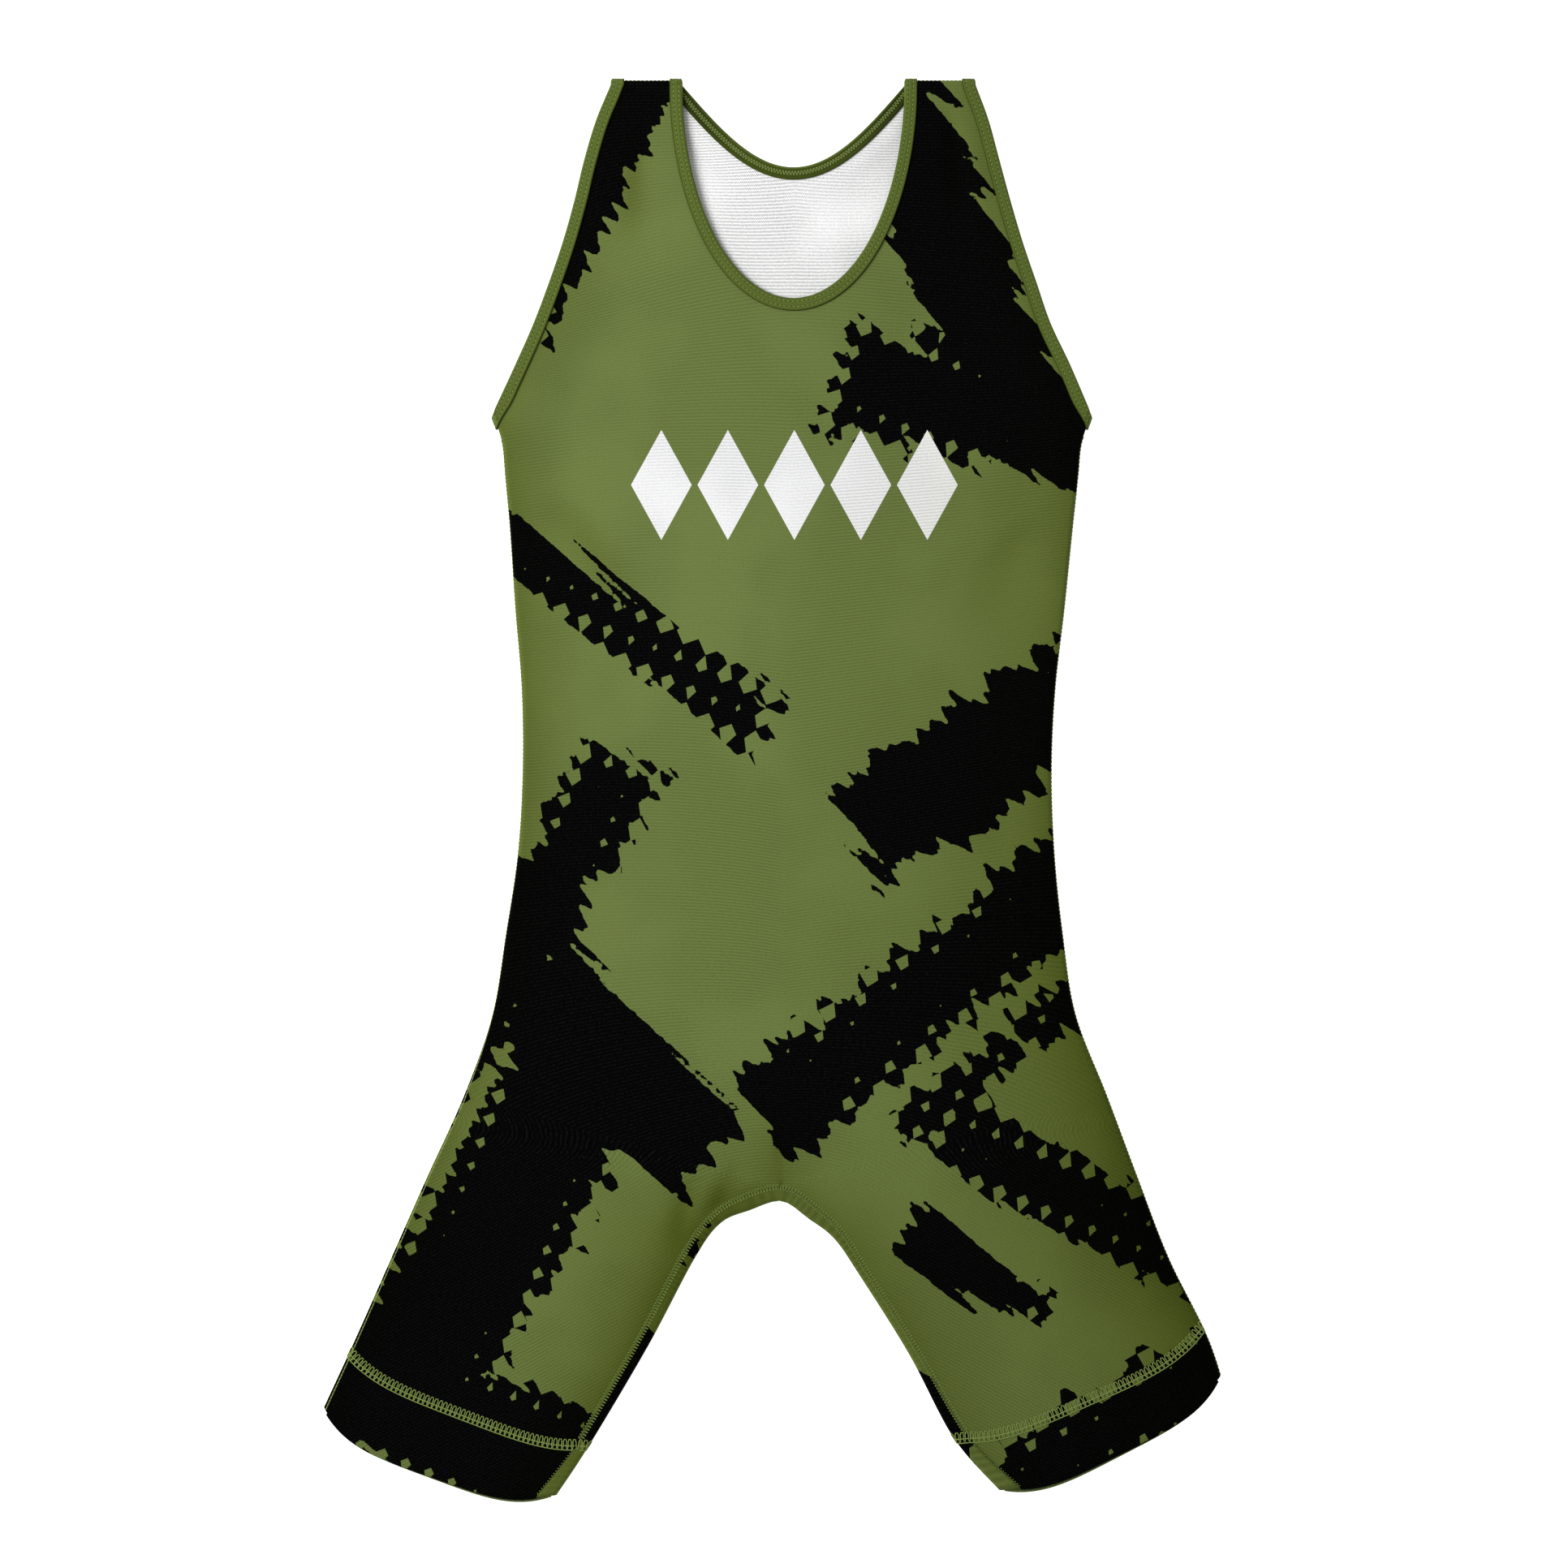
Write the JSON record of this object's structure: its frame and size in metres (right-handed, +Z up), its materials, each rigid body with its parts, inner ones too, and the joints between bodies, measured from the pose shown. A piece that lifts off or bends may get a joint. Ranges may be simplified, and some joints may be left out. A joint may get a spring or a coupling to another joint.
{
  "type": "wrestling singlet laid flat",
  "caption": "Sleeveless one-piece wrestling singlet with short legs and bound neck and armholes, laid flat on its back.",
  "frame": {"origin": "middle of the garment's footprint, on the surface it lies on", "axes": "+Z up from the surface, out of the garment's front; +Y from the legs to the shoulders"},
  "size_m": [0.4854, 0.7706, 0.0075],
  "materials": {
    "printed_knit": "smooth stretch knit, olive green and black print outside, white inside",
    "green_knit": "plain olive green stretch knit"
  },
  "bodies": {
    "root": {"back_panel": "printed_knit", "front_panel": "printed_knit", "neck_binding": "green_knit", "armhole_binding_left": "green_knit", "armhole_binding_right": "green_knit"}
  },
  "joints": []
}
